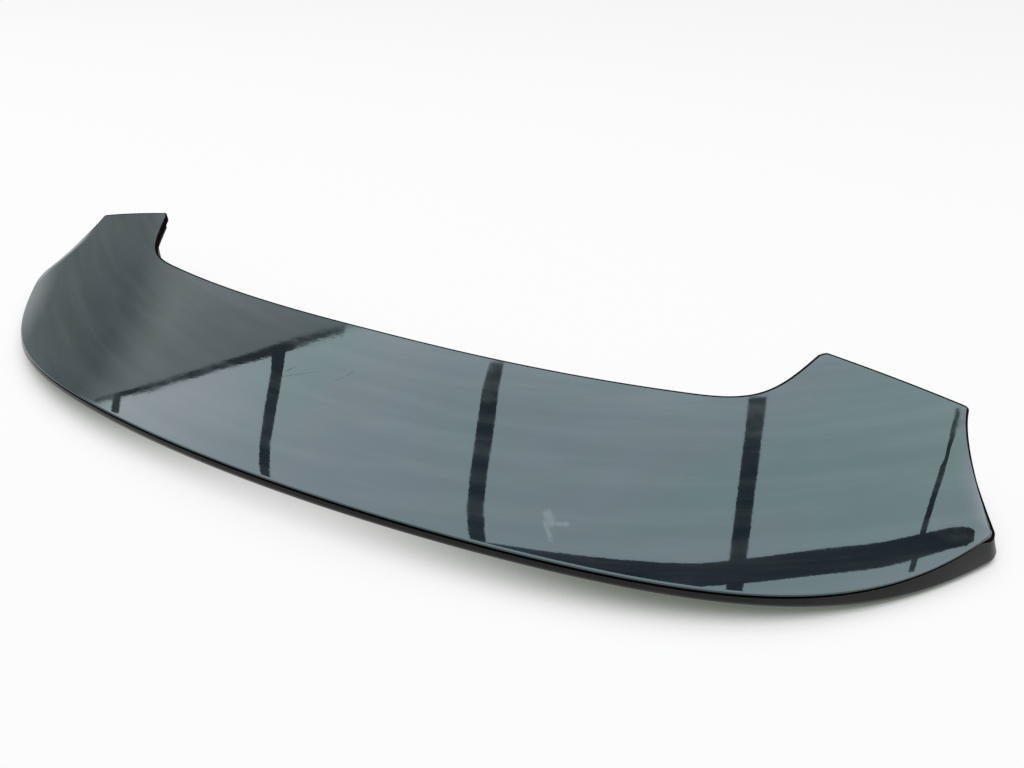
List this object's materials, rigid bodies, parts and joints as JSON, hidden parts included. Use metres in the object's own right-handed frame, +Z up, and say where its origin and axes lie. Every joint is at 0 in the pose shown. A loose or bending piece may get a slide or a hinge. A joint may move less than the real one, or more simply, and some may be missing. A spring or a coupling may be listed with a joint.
{
  "type": "car roof spoiler",
  "caption": "Crescent roof spoiler for a hatchback tailgate: gloss painted upper skin on a satin black lower panel, with studs, clips, buffers and foam seals for fixing.",
  "frame": {"origin": "middle of the spoiler's footprint, on the surface that it lies on", "axes": "+X across the car, +Y towards the roof, +Z up out of the painted skin"},
  "size_m": [1.1988, 0.3302, 0.1004],
  "materials": {
    "skin_paint": "very dark blue paint under a clear coat, dusty, with fine scratches",
    "panel_plastic": "satin black with a fine moulded grain",
    "stud_steel": "zinc plated",
    "seal_foam": "closed cell foam",
    "strip_foam": "extruded foam strip",
    "buffer_rubber": "moulded rubber",
    "clip_steel": "dark phosphate spring steel",
    "screw_steel": "zinc plated"
  },
  "bodies": {
    "root": {"upper_skin": "skin_paint", "lower_panel": "panel_plastic", "stud_inner_left": "stud_steel", "stud_inner_right": "stud_steel", "stud_outer_left": "stud_steel", "stud_outer_right": "stud_steel", "stud_seal_inner_left": "seal_foam", "stud_seal_inner_right": "seal_foam", "stud_seal_outer_left": "seal_foam", "stud_seal_outer_right": "seal_foam", "front_strip": "strip_foam", "horn_strip_left": "strip_foam", "horn_strip_right": "strip_foam", "deck_strip": "strip_foam", "buffer_left": "buffer_rubber", "buffer_right": "buffer_rubber", "clip_left": "clip_steel", "clip_right": "clip_steel", "front_screws": "screw_steel", "horn_screws_left": "screw_steel", "horn_screws_right": "screw_steel"}
  },
  "joints": []
}
